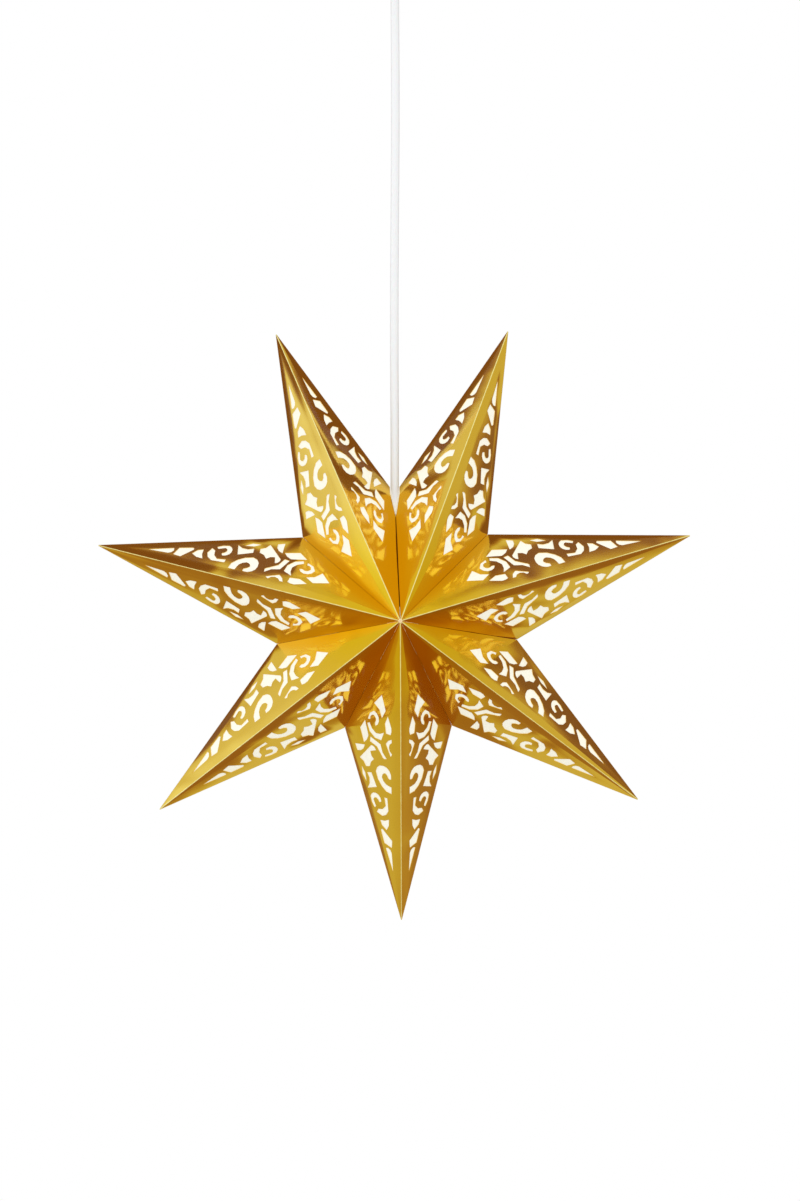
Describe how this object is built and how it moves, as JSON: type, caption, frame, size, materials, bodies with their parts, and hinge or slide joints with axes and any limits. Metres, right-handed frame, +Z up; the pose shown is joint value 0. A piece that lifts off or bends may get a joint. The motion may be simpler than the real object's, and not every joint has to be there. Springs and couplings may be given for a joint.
{
  "type": "paper star lamp",
  "caption": "Hanging folded paper star lamp of gold foil card with scroll cut-outs over a translucent lining, a small bulb holder inside, and a short white flex to a ceiling cup",
  "frame": {"origin": "centre of the ceiling strap's top face, where it meets the ceiling", "axes": "+Z up towards the ceiling, the star's front faces -Y, +X to the right seen from the front"},
  "size_m": [0.4622, 0.1432, 0.7785],
  "materials": {
    "foil_card": "glossy gold foil laminated on card",
    "lining_paper": "matt translucent, lit from behind",
    "brass": "bright",
    "flex_sheath": "smooth white sheath",
    "core_insulation": "brown and blue core insulation",
    "nylon": "satin natural nylon",
    "white_moulding": "glossy white moulding",
    "ceramic": "white glaze",
    "plated_brass": "nickel plate",
    "bulb_glass": "opal white globe, lit warm white",
    "zinc_steel": "zinc plated"
  },
  "bodies": {
    "root": {"point_1": "foil_card", "point_2": "foil_card", "point_3": "foil_card", "point_4": "foil_card", "point_5": "foil_card", "point_6": "foil_card", "point_7": "foil_card", "lining_1": "lining_paper", "lining_2": "lining_paper", "lining_3": "lining_paper", "lining_4": "lining_paper", "lining_5": "lining_paper", "lining_6": "lining_paper", "lining_7": "lining_paper", "seam_pin_front": "brass", "seam_pin_back": "brass", "terminal_screws": "brass", "flex": "flex_sheath", "flex_cores": "core_insulation", "flex_grip": "nylon", "grip_nut": "nylon", "ceiling_nipple": "nylon", "cup_nut": "nylon", "terminal_block": "nylon", "holder_cap": "white_moulding", "holder_skirt": "white_moulding", "ceiling_cup": "white_moulding", "contact_block": "ceramic", "threaded_shell": "plated_brass", "centre_contact": "plated_brass", "bulb": "bulb_glass", "mounting_strap": "zinc_steel"}
  },
  "joints": []
}
